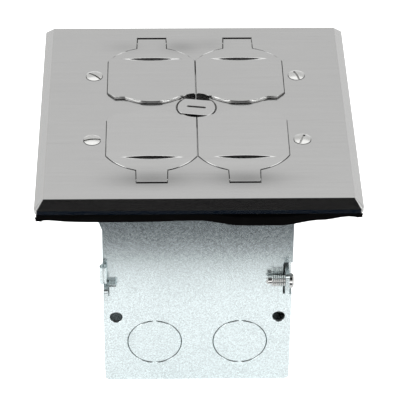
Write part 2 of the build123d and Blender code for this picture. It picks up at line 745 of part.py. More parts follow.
def socket_body():
    """Moulded back of the socket, with rooms for its contacts and side terminals."""
    body = plan(RectangleRounded(face_length, face_width, body_corner),
                box_height - body_depth, box_height)
    foot = body.faces().sort_by(Axis.Z)[0].edges()
    body = chamfer(foot, body_foot_edge)
    for sign in (-1, 1):
        plug = RectangleRounded(*window_size, window_corner)
        body -= Pos(sign * outlet_pitch / 2, 0) * plan(plug, strap_top - face_plug - fit_gap, 2 * box_height)
    for room in contact_channels():
        body -= room
    width, height, depth = terminal_recess
    z = box_height - body_depth / 2
    for side in (-1, 1):
        for sign in (-1, 1):
            y = side * face_width / 2
            body -= block((sign * terminal_x - width / 2, sign * terminal_x + width / 2),
                          (y, y - side * depth), (z - height / 2, z + height / 2))
            body -= rod_y(terminal_screw[0] + pin_seat_clearance, 0, y, sign * terminal_x, z)
    return Pos(0, -socket_y, 0) * body


def line_contact(side):
    """Brass strip with a pair of jaws under each outlet, for one pole."""
    y = side * blade_spacing / 2
    floor = box_height - body_depth + body_wall
    z_range = (floor, floor + contact_height)
    length = outlet_pitch + 2 * contact_tail
    back = y + side * (contact_jaw + contact_sheet)
    strip = block((-length / 2, length / 2), (back - side * contact_sheet, back), z_range)
    for sign in (-1, 1):
        x = sign * outlet_pitch / 2 + blade_offset
        jaw_x = (x - jaw_half_length, x + jaw_half_length)
        jaw = block(jaw_x, (y - side * contact_jaw, y - side * (contact_jaw + contact_sheet)), z_range)
        heel = block(jaw_x, (y - side * (contact_jaw + contact_sheet), back), (floor, floor + contact_sheet))
        strip += jaw + heel
    z = box_height - body_depth / 2
    for sign in (-1, 1):
        strip -= rod_y(terminal_screw[0] + pin_seat_clearance, 0, side * face_width, sign * terminal_x, z)
    return Pos(0, -socket_y, 0) * strip


def earth_contact():
    """Pair of earth clips, one under each outlet."""
    floor = box_height - body_depth + body_wall
    clips = []
    for sign in (-1, 1):
        x = sign * outlet_pitch / 2 + blade_offset + earth_hole[1]
        tube = Circle(earth_clip_radius) - Circle(earth_clip_radius - contact_sheet)
        tube -= Pos(0, earth_clip_radius) * Rectangle(clip_slit, 2 * earth_clip_radius)
        clips.append(Pos(x, -socket_y, 0) * plan(tube, floor, floor + contact_height))
    return clips


def terminal_screws(side):
    """Two screws on one side of a socket."""
    shank, head_radius, head_height, length = terminal_screw
    z = box_height - body_depth / 2
    seat = side * (face_width / 2 - terminal_recess[2] + terminal_lift)
    screws = []
    for sign in (-1, 1):
        head = rod_y(head_radius, seat, seat + side * head_height, sign * terminal_x, z)
        stem = rod_y(shank, seat - side * length, seat + side * weld, sign * terminal_x, z)
        face = seat + side * head_height
        width, depth = terminal_slot
        x = sign * terminal_x
        slot = block((x - 2 * head_radius, x + 2 * head_radius), (face - side * depth, face + side * depth),
                     (z - width / 2, z + width / 2))
        screws.append(Pos(0, -socket_y, 0) * (head + stem - slot))
    return screws


def lifted(shape):
    """Turn a lid's piece up about its hinge, as the photographed lids stand."""
    hinge = Axis((0, hinge_y, hinge_z), (1, 0, 0))
    return shape.rotate(hinge, -lifted_angle)


# Build and write every sub-part

shell, panel = box_shell(), side_panel()
for gang in gangs:
    save(f"box_shell_{gang}", to_gang(shell, gang))
    save(f"side_panel_{gang}", to_gang(panel, gang))
save("clamp_screws", [to_gang(clamp_screw(), gang) for gang in gangs])
save("lap_screws", [to_gang(lap_screw(), gang) for gang in gangs])
save("box_earth_screws", [to_gang(earth_screw(), gang) for gang in gangs])

save("cover_plate", cover_plate())
save("floor_gasket", floor_gasket())
save("cover_screws", [cover_screw(quarter) for quarter in quarters])

lid_parts = {"lid": lid(), "lid_seal": lid_seal(), "lid_keeper": lid_keeper()}
for quarter in quarters:
    for name, shape in lid_parts.items():
        save(f"{name}_{quarter}", to_quarter(lifted(shape), quarter))
    save(f"hinge_pin_{quarter}", to_quarter(hinge_pin(), quarter))

save("lock_spindle", lock_spindle())
save("lock_cam", lock_cam())
save("lock_washer", lock_washer())
save("lock_screw", lock_screw_part())

for gang in gangs:
    save(f"socket_strap_{gang}", to_gang(socket_strap(), gang))
    save(f"socket_face_{gang}", to_gang(socket_face(), gang))
    save(f"socket_body_{gang}", to_gang(socket_body(), gang))
    save(f"live_contact_{gang}", to_gang(line_contact(1), gang))
    save(f"neutral_contact_{gang}", to_gang(line_contact(-1), gang))
    save(f"earth_clips_{gang}", [to_gang(clip, gang) for clip in earth_contact()])
    save(f"live_screws_{gang}", [to_gang(screw, gang) for screw in terminal_screws(1)])
    save(f"neutral_screws_{gang}", [to_gang(screw, gang) for screw in terminal_screws(-1)])
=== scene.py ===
"""Dressed floor socket box: satin cover with four flip lids, foam gasket, galvanised gang box.

The frame holds every rigid piece at its real size and place. This file adds what the eye needs
on top of it: the finishes, eased edges, the slanted inner ends of the lids, the domed cover screws,
the threads of the clamp screws, and the foam gasket as it lies.
Metres throughout. +X runs right along the sockets, +Y to the back and +Z up.
"""

import json
import logging
from dataclasses import dataclass
from enum import Enum
from functools import lru_cache
from math import cos, pi, radians, sin
from typing import Callable, Mapping, Sequence, Union

import bpy
from mathutils import Matrix, Vector


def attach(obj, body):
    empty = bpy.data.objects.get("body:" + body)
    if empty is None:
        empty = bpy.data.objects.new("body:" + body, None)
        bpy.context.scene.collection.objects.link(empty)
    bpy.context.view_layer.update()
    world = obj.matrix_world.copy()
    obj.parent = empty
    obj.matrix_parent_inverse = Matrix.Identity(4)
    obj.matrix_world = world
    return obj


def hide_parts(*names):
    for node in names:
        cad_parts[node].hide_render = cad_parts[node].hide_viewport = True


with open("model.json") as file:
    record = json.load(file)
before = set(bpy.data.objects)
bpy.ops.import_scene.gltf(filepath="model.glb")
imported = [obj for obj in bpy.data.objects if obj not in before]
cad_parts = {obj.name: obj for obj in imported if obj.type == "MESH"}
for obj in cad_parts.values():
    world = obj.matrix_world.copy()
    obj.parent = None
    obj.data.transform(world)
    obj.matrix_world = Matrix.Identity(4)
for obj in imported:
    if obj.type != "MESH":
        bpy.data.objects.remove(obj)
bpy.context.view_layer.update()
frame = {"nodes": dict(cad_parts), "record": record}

MM = 0.001
# Distances below which two places count as level, and as one
LEVEL = MM / 100
MERGED = MM / 1000
# Angle in degrees below which two faces count as one flat face
FLAT = 0.2

log = logging.getLogger("floor_box")


# Shader graph

Value = Union[float, Sequence[float], "Wire"]


@dataclass(frozen=True)
class Wire:
    """One output of a shader node, on which Python's operators add Math nodes."""

    graph: "Graph"
    socket: bpy.types.NodeSocket

    def math(self, operation: str, *others: Value) -> "Wire":
        """Add a Math node whose first input is this wire.

        Args:
            operation: Name of the Math node's operation.
            *others: Its other inputs, as numbers or wires.

        Returns:
            The node's output.
        """
        inputs = dict(enumerate((self, *others)))
        return self.graph.node("ShaderNodeMath", {"operation": operation}, inputs)

    def __add__(self, other: Value) -> "Wire":
        """Sum."""
        return self.math("ADD", other)

    __radd__ = __add__

    def __mul__(self, other: Value) -> "Wire":
        """Product."""
        return self.math("MULTIPLY", other)

    def __sub__(self, other: Value) -> "Wire":
        """Difference."""
        return self.math("SUBTRACT", other)

    def __truediv__(self, other: Value) -> "Wire":
        """Quotient."""
        return self.math("DIVIDE", other)

    def __neg__(self) -> "Wire":
        """Negative."""
        return self * -1.0

    def exp(self) -> "Wire":
        """The number e raised to this value."""
        return self.math("EXPONENT")

    def step(self, low: float, high: float) -> "Wire":
        """Smooth step of this value.

        Args:
            low: Value at which the step starts from 0.
            high: Value at which it reaches 1.

        Returns:
            A wire between 0 and 1.
        """
        names = ("Value", "From Min", "From Max")
        return self.graph.node("ShaderNodeMapRange", {"interpolation_type": "SMOOTHSTEP"},
                               dict(zip(names, (self, low, high))))


class Graph:
    """Node tree of one material or of the world, built from calls."""

    def __init__(self, tree: bpy.types.NodeTree) -> None:
        """Empty the tree.

        Args:
            tree: The node tree to fill.
        """
        self.tree = tree
        tree.nodes.clear()

    def node(self, kind: str, settings: Mapping[str, object] = {}, inputs: Mapping = {},
             output: Union[int, str] = 0) -> Wire:
        """Add one node.

        Args:
            kind: Type of the node.
            settings: Its own settings, set before its sockets.
            inputs: Values or wires by the name or number of the socket.
            output: Which of its outputs to return.

        Returns:
            That output.
        """
        made = self.tree.nodes.new(kind)
        for name, value in settings.items():
            setattr(made, name, value)
        for name, value in inputs.items():
            if isinstance(value, Wire):
                self.tree.links.new(value.socket, made.inputs[name])
            else:
                made.inputs[name].default_value = value
        return Wire(self, made.outputs[output])

    def place(self) -> Wire:
        """Place on the object, in metres."""
        return self.node("ShaderNodeTexCoord", output="Object")

    def axes(self) -> tuple[Wire, Wire, Wire]:
        """The three coordinates of a place on the object."""
        split = self.node("ShaderNodeSeparateXYZ", inputs={0: self.place()})
        outputs = split.socket.node.outputs
        return tuple(Wire(self, outputs[name]) for name in "XYZ")

    def scaled(self, factors: Sequence[float]) -> Wire:
        """Object coordinates, stretched by a factor for each axis."""
        return self.node("ShaderNodeMapping", inputs={"Vector": self.place(), "Scale": factors})

    def noise(self, vector: Wire, scale: float, detail: float = 2.0) -> Wire:
        """Noise around 0.5.

        Args:
            vector: Where it is read.
            scale: Waves for each unit of the vector.
            detail: Number of finer layers.

        Returns:
            The noise.
        """
        return self.node("ShaderNodeTexNoise", inputs={"Vector": vector, "Scale": scale, "Detail": detail})

    def cells(self, vector: Wire, scale: float) -> Wire:
        """A random tone for each cell of a crystal pattern, as a colour."""
        return self.node("ShaderNodeTexVoronoi", inputs={"Vector": vector, "Scale": scale}, output="Color")

    def grey(self, colour: Wire) -> Wire:
        """Brightness of a colour."""
        return self.node("ShaderNodeSeparateColor", inputs={0: colour})

    def mix(self, factor: Value, first: Value, second: Value) -> Wire:
        """Blend of two colours.

        Args:
            factor: 0 for the first, 1 for the second.
            first: Colour or wire.
            second: Colour or wire.

        Returns:
            The blended colour.
        """
        return self.node("ShaderNodeMix", {"data_type": "RGBA"}, {0: factor, 6: first, 7: second}, 2)

    def bump(self, height: Wire, depth: float, strength: float) -> Wire:
        """Normal of a surface with a relief.

        Args:
            height: Relief between 0 and 1.
            depth: What 1 stands for, in metres.
            strength: Share of the relief that counts.

        Returns:
            The normal.
        """
        inputs = {"Height": height, "Distance": depth, "Strength": strength}
        return self.node("ShaderNodeBump", inputs=inputs)

    def surface(self, inputs: Mapping[str, Value]) -> None:
        """Finish a material with a Principled shader.

        Args:
            inputs: Its sockets by name.
        """
        self.end("ShaderNodeOutputMaterial", self.node("ShaderNodeBsdfPrincipled", inputs=inputs))

    def end(self, kind: str, shader: Wire) -> None:
        """Add the output node of a material or world.

        Args:
            kind: Type of the output node.
            shader: What it shows.
        """
        made = self.tree.nodes.new(kind)
        self.tree.links.new(shader.socket, made.inputs["Surface"])


def tone(colour: Sequence[float], factor: float = 1.0) -> tuple[float, float, float, float]:
    """Colour made darker or lighter, with an alpha of 1.

    Args:
        colour: Red, green and blue.
        factor: What each is multiplied by.

    Returns:
        Four channels.
    """
    red, green, blue = (min(1.0, channel * factor) for channel in colour)
    return red, green, blue, 1.0


# Finishes

@dataclass(frozen=True)
class Finish:
    """A finish with its colour; each kind adds its own texture."""

    name: str
    colour: tuple[float, float, float]
    roughness: float

    def material(self) -> bpy.types.Material:
        """Make the material."""
        made = bpy.data.materials.new(self.name)
        made.use_nodes = True
        self.shade(Graph(made.node_tree))
        return made

    def shade(self, graph: Graph) -> None:
        """Fill the material's graph."""
        raise NotImplementedError


@dataclass(frozen=True)
class PaintedShadePatch:
    """A soft darker patch on the cover: painted shade standing in for the reflection of a faint dent that
    the mesh doesn't have. Its depth is how much it darkens the colour.
    """

    x: float
    y: float
    half_x: float
    half_y: float
    depth: float


@dataclass(frozen=True)
class SatinPlate(Finish):
    """Plated metal with fine brushed lines along X."""

    line_pitch: float = 0.16 * MM
    contrast: float = 0.012
    # Soft patches of painted shade beside the hinge tabs, darkening the base colour
    painted_shade_patches: tuple[PaintedShadePatch, ...] = (
        PaintedShadePatch(-18 * MM, -49.5 * MM, 15 * MM, 5.2 * MM, 0.2),
        PaintedShadePatch(18 * MM, -49.5 * MM, 14 * MM, 5.0 * MM, 0.2),
        PaintedShadePatch(-6 * MM, 45 * MM, 7.5 * MM, 4.5 * MM, 0.12),
        PaintedShadePatch(-29 * MM, 45 * MM, 8 * MM, 4 * MM, 0.06),
        PaintedShadePatch(7 * MM, 47 * MM, 6 * MM, 4 * MM, 0.05),
    )

    def shade(self, graph: Graph) -> None:
        """Brushed lines, a slow mottling, and painted shade in soft darker patches beside the hinges."""
        pitch = 1 / self.line_pitch
        lines = graph.noise(graph.scaled((40, pitch, pitch)), 1.0, 3.0)
        streaks = graph.noise(graph.scaled((22, pitch / 9, pitch / 9)), 1.0, 2.0)
        scratches = graph.noise(graph.scaled((35, pitch / 2, pitch / 2)), 1.0, 0.0).step(0.72, 0.84)
        patches = graph.noise(graph.place(), 60.0, 2.0)
        x, y, _ = graph.axes()
        lift = (lines - 0.5) * 3.0 + (streaks - 0.5) * 2.5 + (patches - 0.5) * 1.5 - scratches * 2.0
        shade = 0.5 + lift * self.contrast
        # Painted shade: each patch darkens the colour, in place of the reflection of a dent
        for shade_patch in self.painted_shade_patches:
            across = (x - shade_patch.x) / shade_patch.half_x
            along = (y - shade_patch.y) / shade_patch.half_y
            shade = shade - (-(across * across + along * along)).exp() * shade_patch.depth
        base = graph.mix(shade, tone(self.colour, 0.0), tone(self.colour, 2.0))
        graph.surface({
            "Base Color": base,
            "Metallic": 1.0,
            "Roughness": self.roughness + (lines - 0.5) * 0.06,
            "Normal": graph.bump(lines, 0.02 * MM, 0.04),
        })


@dataclass(frozen=True)
class BrightMetal(Finish):
    """Plated screws, pins and strip: smooth metal with faint wear."""

    grain: float = 900.0

    def shade(self, graph: Graph) -> None:
        """Fine grain and a few duller patches."""
        grain = graph.noise(graph.place(), self.grain, 3.0)
        patches = graph.noise(graph.place(), self.grain / 6, 2.0).step(0.35, 0.7)
        base = graph.mix(grain * 0.5 + patches * 0.3, tone(self.colour, 0.88), tone(self.colour, 1.06))
        graph.surface({
            "Base Color": base,
            "Metallic": 1.0,
            "Roughness": self.roughness + patches * 0.1 + grain * 0.06,
            "Normal": graph.bump(grain, 0.02 * MM, 0.2),
        })


@dataclass(frozen=True)
class GalvanisedSheet(Finish):
    """Hot dipped zinc with a fine pale spangle."""

    spangle: float = 0.55 * MM
    contrast: float = 1.3
    mark_pitch: float = 9.0 * MM
    darkest: float = 0.82
    palest: float = 1.18

    def shade(self, graph: Graph) -> None:
        """Small crystals with their own tones, grains between them, slow stains and a few handling marks."""
        place = graph.place()
        crystals = graph.grey(graph.cells(place, 1 / self.spangle))
        grains = graph.noise(place, 1.1 / self.spangle, 2.0)
        stains = graph.noise(place, 45.0, 3.0)
        marks = graph.noise(place, 1 / self.mark_pitch, 6.0).step(0.66, 0.72)
        lift = (crystals - 0.5) * 0.5 + (grains - 0.5) * 2.2 + (stains - 0.5) * 0.4 - marks * 0.2
        base = graph.mix(0.5 + lift * self.contrast, tone(self.colour, self.darkest),
                         tone(self.colour, self.palest))
        graph.surface({
            "Base Color": base,
            "Metallic": 0.9,
            "Roughness": self.roughness + crystals * 0.05 + grains * 0.03,
            "Normal": graph.bump(crystals * 0.4 + grains * 0.6, 0.05 * MM, 0.025),
        })


@dataclass(frozen=True)
class ClosedFoam(Finish):
    """Black closed cell foam with fine pores."""

    pore: float = 0.35 * MM

    def shade(self, graph: Graph) -> None:
        """Pores as a relief, and a little dust in random patches."""
        place = graph.place()
        pores = graph.node("ShaderNodeTexVoronoi", inputs={"Vector": place, "Scale": 1 / self.pore},
                           output="Distance")
        dust = graph.noise(place, 160.0, 3.0).step(0.45, 0.8)
        graph.surface({
            "Base Color": graph.mix(dust * 0.5, tone(self.colour), tone(self.colour, 2.2)),
            "Roughness": self.roughness,
            "Specular IOR Level": 0.03,
            "Normal": graph.bump(pores, 0.12 * MM, 0.6),
        })


@dataclass(frozen=True)
class Moulding(Finish):
    """Moulded plastic or rubber with a fine skin."""

    grain: float = 2600.0
    relief: float = 0.15

    def shade(self, graph: Graph) -> None:
        """Sparked mould texture and slow variation of tone."""
        place = graph.place()
        skin = graph.noise(place, self.grain, 2.0)
        flow = graph.noise(place, 60.0, 2.0)
        graph.surface({
            "Base Color": graph.mix(flow, tone(self.colour, 0.85), tone(self.colour, 1.2)),
            "Roughness": self.roughness + flow * 0.1 - 0.05,
            "Normal": graph.bump(skin, 0.03 * MM, self.relief),
        })


class Slot(Enum):
    """The record's material slots, each with its finish."""

    satin_cover = SatinPlate("satin_cover", (0.447, 0.447, 0.442), 0.2)
    satin_lock = SatinPlate("satin_lock", (0.46, 0.46, 0.456), 0.2, painted_shade_patches=())
    bright_screw = BrightMetal("bright_screw", (0.52, 0.52, 0.51), 0.16)
    pin_steel = BrightMetal("pin_steel", (0.55, 0.55, 0.54), 0.28)
    keeper_steel = BrightMetal("keeper_steel", (0.58, 0.58, 0.57), 0.34)
    strap_steel = BrightMetal("strap_steel", (0.62, 0.63, 0.62), 0.30)
    galvanised = GalvanisedSheet("galvanised", (0.67, 0.742, 0.752), 0.2)
    gasket_foam = ClosedFoam("gasket_foam", (0.002, 0.002, 0.002), 0.9)
    seal_rubber = Moulding("seal_rubber", (0.012, 0.012, 0.012), 0.7)
    socket_face = Moulding("socket_face", (0.028, 0.028, 0.031), 0.32)
    socket_body = Moulding("socket_body", (0.05, 0.05, 0.053), 0.5, relief=0.3)
    contact_brass = BrightMetal("contact_brass", (0.70, 0.50, 0.20), 0.3)
    terminal_brass = BrightMetal("terminal_brass", (0.74, 0.55, 0.24), 0.24)
    terminal_nickel = BrightMetal("terminal_nickel", (0.68, 0.67, 0.64), 0.2)
    earth_green = BrightMetal("earth_green", (0.06, 0.33, 0.13), 0.3)


class Dresser:
    """Gives every CAD node and new piece the finish of its slot."""

    def __init__(self) -> None:
        """Make each finish once."""
        self.materials = {slot.name: slot.value.material() for slot in Slot}

    def paint(self, piece: bpy.types.Object, slot: str) -> None:
        """Put a slot's finish on a piece.

        Args:
            piece: The object.
            slot: Name of the slot.
        """
        piece.data.materials.clear()
        piece.data.materials.append(self.materials[slot])

    def dress_nodes(self, record: Mapping) -> None:
        """Paint every CAD node with the finish that the record names for it.

        Args:
            record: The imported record.
        """
        for row in record["subparts"]:
            self.paint(frame["nodes"][row["node"]], row["material_slot"])
            log.info("node %s takes %s", row["node"], row["material_slot"])

    def add(self, piece: bpy.types.Object, slot: str, body: str, *nodes: str) -> None:
        """Hand a finished piece to the frame.

        Args:
            piece: The new object.
            slot: Its material slot.
            body: The body that it rides on.
            *nodes: CAD nodes that it stands for.
        """
        self.paint(piece, slot)
        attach(piece, body)
        if nodes:
            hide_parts(*nodes)
        log.info("piece %s rides on %s", piece.name, body)


# Modelling

class Bench:
    """One mesh on the bench, worked with Blender's own modelling tools."""

    def __init__(self, name: str, add: Callable, **settings: object) -> None:
        """Start from a primitive, with its place and turn in its mesh.

        Args:
            name: Name of the piece.
            add: The operator that adds the primitive.
            **settings: The operator's settings.
        """
        bpy.ops.object.select_all(action="DESELECT")
        add(**settings)
        self.piece = bpy.context.active_object
        self.piece.name = name
        self.piece.data.name = name
        bpy.ops.object.transform_apply(location=True, rotation=True, scale=True)

    @classmethod
    def copy_of(cls, name: str, node: str) -> "Bench":
        """Put a merged copy of a CAD node on the bench.

        Args:
            name: Name of the piece.
            node: The node.

        Returns:
            The bench.
        """
        def add() -> None:
            """Add the node's mesh as a new active object."""
            made = bpy.data.objects.new(name, frame["nodes"][node].data.copy())
            bpy.context.scene.collection.objects.link(made)
            made.select_set(True)
            bpy.context.view_layer.objects.active = made

        bench = cls(name, add)
        bench.close()
        return bench

    def pick(self, kind: str, test: Callable) -> None:
        """Select some faces, edges or vertices in edit mode.

        Args:
            kind: FACE, EDGE or VERT.
            test: Says of each one whether it is picked, from its corners' places.
        """
        mesh = self.piece.data
        bpy.ops.object.mode_set(mode="EDIT")
        bpy.ops.mesh.select_mode(type=kind)
        bpy.ops.mesh.select_all(action="DESELECT")
        bpy.ops.object.mode_set(mode="OBJECT")
        rows = {"FACE": mesh.polygons, "EDGE": mesh.edges}.get(kind)
        if rows is None:
            for corner in mesh.vertices:
                corner.select = test([corner.co])
        else:
            for row in rows:
                row.select = test([mesh.vertices[i].co for i in row.vertices])
        bpy.ops.object.mode_set(mode="EDIT")

    def push(self, x: float = 0.0, y: float = 0.0, z: float = 0.0, soft: float = 0.0) -> None:
        """Move what is picked.

        Args:
            x: Distance along X.
            y: Distance along Y.
            z: Distance along Z.
            soft: Radius within which the neighbours follow, or 0.
        """
        settings = {}
        if soft:
            settings = {"use_proportional_edit": True, "proportional_size": soft}
        bpy.ops.transform.translate(value=(x, y, z), **settings)

    def pull(self, x: float = 0.0, y: float = 0.0, z: float = 0.0) -> None:
        """Extrude what is picked by a distance along each axis."""
        bpy.ops.mesh.extrude_region_move(TRANSFORM_OT_translate={"value": (x, y, z)})

    def size(self, x: float = 1.0, y: float = 1.0, z: float = 1.0) -> None:
        """Scale what is picked about its own middle."""
        bpy.ops.transform.resize(value=(x, y, z))

    def turn(self, angle: float, middle: Sequence[float] = (0, 0, 0)) -> None:
        """Turn what is picked about a line along Z.

        Args:
            angle: Angle in degrees, to the left.
            middle: A point of the line.
        """
        # Without a window the operator turns to the right
        bpy.ops.transform.rotate(value=-radians(angle), orient_axis="Z", center_override=middle)

    def hold(self) -> None:
        """Make this piece the active one again."""
        bpy.ops.object.select_all(action="DESELECT")
        self.piece.select_set(True)
        bpy.context.view_layer.objects.active = self.piece

    def cut(self, size: Sequence[float], middle: Sequence[float]) -> None:
        """Cut a block out of the piece.

        Args:
            size: The block's size along each axis.
            middle: The block's middle.
        """
        block = Bench("cutter", bpy.ops.mesh.primitive_cube_add, size=1, location=middle, scale=size).piece
        self.hold()
        self.modify("BOOLEAN", object=block, operation="DIFFERENCE")
        bpy.data.objects.remove(block)

    def bevel(self, width: float, segments: int) -> None:
        """Bevel the edges that are picked, and leave edit mode."""
        bpy.ops.mesh.bevel(offset=width, segments=segments, affect="EDGES")
        self.close()

    def ease(self, width: float, segments: int, crease: float, test: Callable) -> None:
        """Round the sharp edges.

        Args:
            width: Width of the rounding.
            segments: Faces across it.
            crease: Angle in degrees from which an edge is sharp.
            test: Says of each sharp edge whether it is rounded, from its ends' places.
        """
        mesh = self.piece.data
        self.pick("EDGE", lambda places: False)
        bpy.ops.mesh.edges_select_sharp(sharpness=radians(crease))
        bpy.ops.object.mode_set(mode="OBJECT")
        keys = {edge.index for edge in mesh.edges
                if edge.select and test([mesh.vertices[i].co for i in edge.vertices])}
        self.pick("EDGE", lambda places: False)
        bpy.ops.object.mode_set(mode="OBJECT")
        for index in keys:
            mesh.edges[index].select = True
        bpy.ops.object.mode_set(mode="EDIT")
        self.bevel(width, segments)

    def close(self) -> None:
        """Leave edit mode with doubles merged and the faces pointing outwards."""
        bpy.ops.object.mode_set(mode="EDIT")
        bpy.ops.mesh.select_all(action="SELECT")
        bpy.ops.mesh.remove_doubles(threshold=MERGED)
        bpy.ops.mesh.normals_make_consistent(inside=False)
        bpy.ops.object.mode_set(mode="OBJECT")

    def modify(self, kind: str, **settings: object) -> None:
        """Add a modifier and apply it.

        Args:
            kind: Type of the modifier.
            **settings: Its settings.
        """
        modifier = self.piece.modifiers.new(kind.lower(), kind)
        for name, value in settings.items():
            setattr(modifier, name, value)
        bpy.ops.object.modifier_apply(modifier=modifier.name)

    def smooth(self, angle: float) -> None:
        """Shade smooth where faces meet at less than an angle in degrees."""
        bpy.ops.object.shade_smooth_by_angle(angle=radians(angle))


@lru_cache(maxsize=None)
def node_box(name: str) -> tuple[Vector, Vector]:
    """Low and high corner of a CAD node.

    Args:
        name: The node.

    Returns:
        The two corners, in metres.
    """
    places = [corner.co for corner in frame["nodes"][name].data.vertices]
    low = Vector(min(place[i] for place in places) for i in range(3))
    high = Vector(max(place[i] for place in places) for i in range(3))
    return low, high


@dataclass(frozen=True)
class EasedPiece:
    """A rigid piece with its sharp edges eased, as pressing and plating leave them."""

    node: str
    slot: str
    body: str
    width: float
    crease: float = 35.0
    segments: int = 1
    shortest: float = 0.3 * MM

    def build(self, dresser: Dresser) -> None:
        """Merge flat faces of the copy into one, then round its edges."""
        bench = Bench.copy_of(f"{self.node}_eased", self.node)
        bpy.ops.mesh.customdata_custom_splitnormals_clear()
        bench.pick("FACE", lambda places: True)
        bpy.ops.mesh.dissolve_limited(angle_limit=radians(FLAT))
        bench.close()
        self.shape(bench)
        bench.ease(self.width, self.segments, self.crease, self.worn)
        bench.smooth(self.crease)
        bench.modify("WEIGHTED_NORMAL", keep_sharp=True)
        dresser.add(bench.piece, self.slot, self.body, self.node)

    def shape(self, bench: Bench) -> None:
        """Any shaping of its own before the edges are eased."""

    def worn(self, places: Sequence[Vector]) -> bool:
        """Whether an edge is one of those that are eased."""
        return (places[0] - places[1]).length > self.shortest


@dataclass(frozen=True)
class CoverPlate(EasedPiece):
    """The cover, eased more round the outer ends of the back lids, and sharp along its rim."""

    slope: float = 0.22 * MM
    reach_x: float = 40 * MM
    reach_y: tuple[float, float] = (36 * MM, 54 * MM)
    opening_reach: float = 55 * MM

    def shape(self, bench: Bench) -> None:
        """Bevel the upper edges round the back lids' outer ends."""
        bench.pick("EDGE", lambda places: self.on_top(places, self.reach_x, *self.reach_y))
        bench.bevel(self.slope, self.segments)

    def worn(self, places: Sequence[Vector]) -> bool:
        """Whether an edge lies on the top face, round an opening, and isn't bevelled yet."""
        inside = self.on_top(places, self.opening_reach, -self.opening_reach, self.reach_y[0])
        return inside and super().worn(places)

    def on_top(self, places: Sequence[Vector], reach: float, low: float, high: float) -> bool:
        """Whether an edge lies in some part of the top face.

        Args:
            places: The edge's ends.
            reach: How far the part goes to the left and right of the middle.
            low: Where it starts along Y.
            high: Where it ends along Y.

        Returns:
            True where both ends lie in it.
        """
        top = node_box(self.node)[1].z
        return all(abs(place.z - top) < LEVEL and abs(place.x) < reach and low < place.y < high
                   for place in places)


@dataclass(frozen=True)
class Lid(EasedPiece):
    """A flip lid whose inner end slants where it meets the cover."""

    slant: tuple[float, float] = (0.35 * MM, 0.9 * MM)
    reach_y: float = 17 * MM
    lock_reach: float = 9.0 * MM
    # Where the slant runs, from the middle of the lids outwards
    runs: tuple[tuple[float, float], ...] = ((5.5 * MM, 14.2 * MM), (21.9 * MM, 28.8 * MM))

    def shape(self, bench: Bench) -> None:
        """Bevel the inner upper edge in its two runs, then steepen the new faces."""
        top = node_box(self.node)[1].z
        run, drop = self.slant
        side = 1 if "back" in self.node else -1

        def on_run(places: Sequence[Vector]) -> bool:
            """Whether an edge of the inner end lies in one of the runs."""
            middle = sum(places, Vector()) / len(places)
            near = all(place.z > top - drop / 2 and abs(place.y) < self.reach_y
                       and place.xy.length > self.lock_reach for place in places)
            return near and any(low < abs(middle.x) < high for low, high in self.runs)

        bench.pick("EDGE", on_run)
        corners = {tuple(v.co) for v in bench.piece.data.vertices}
        bench.bevel(drop, 1)
        bench.pick("VERT", lambda places: tuple(places[0]) not in corners and places[0].z > top - drop / 2
                   and abs(places[0].y) < self.reach_y + drop)
        bench.push(y=side * (run - drop))
        bench.close()


@dataclass(frozen=True)
class FoamGasket:
    """Foam ring between the cover and the floor, squeezed unevenly by its screws."""

    strip: tuple[float, float] = (12.55 * MM, 10.4 * MM)
    corner: float = 2.0 * MM
    corner_segments: int = 6
    cuts: int = 40
    edge: float = 0.9 * MM
    # Middle along X, width and fall of each place where the front edge sags or rises
    sags: tuple[tuple[float, float, float], ...] = (
        (24 * MM, 32 * MM, -2.5 * MM),
        (60 * MM, 20 * MM, 1.6 * MM),
        (-30 * MM, 40 * MM, -0.5 * MM),
        (-61 * MM, 14 * MM, 0.5 * MM),
    )

    def build(self, dresser: Dresser) -> None:
        """Model the ring and its wavy lower edge."""
        low, high = node_box("floor_gasket")
        middle, size = (low + high) / 2, high - low
        bench = Bench("foam_gasket", bpy.ops.mesh.primitive_plane_add, size=1,
                      location=(middle.x, middle.y, high.z))
        bench.pick("FACE", lambda places: True)
        bench.size(size.x, size.y)
        bpy.ops.mesh.bevel(offset=self.corner, offset_type="OFFSET", segments=self.corner_segments,
                           affect="VERTICES")
        bench.pick("FACE", lambda places: True)
        side, front = self.strip
        bpy.ops.mesh.inset(thickness=front)
        bench.pick("FACE", lambda places: len(places) > 4)
        bench.size((size.x - 2 * side) / (size.x - 2 * front))
        bpy.ops.mesh.delete(type="ONLY_FACE")
        bench.pick("FACE", lambda places: True)
        bench.pull(z=-size.z)
        bench.pick("EDGE", lambda places: (places[0] - places[1]).length > size.x / 2)
        bpy.ops.mesh.subdivide(number_cuts=self.cuts)
        bench.close()
        bench.modify("BEVEL", width=self.edge, segments=3, limit_method="ANGLE")
        for x, width, fall in self.sags:
            bench.pick("VERT", lambda places: places[0].z < high.z - size.z + self.edge
                       and places[0].y < low.y + side / 2 and abs(places[0].x - x) < width / 4)
            bench.push(z=fall, soft=width / 2)
        bench.close()
        bench.smooth(40)
        dresser.add(bench.piece, "gasket_foam", "housing", "floor_gasket")


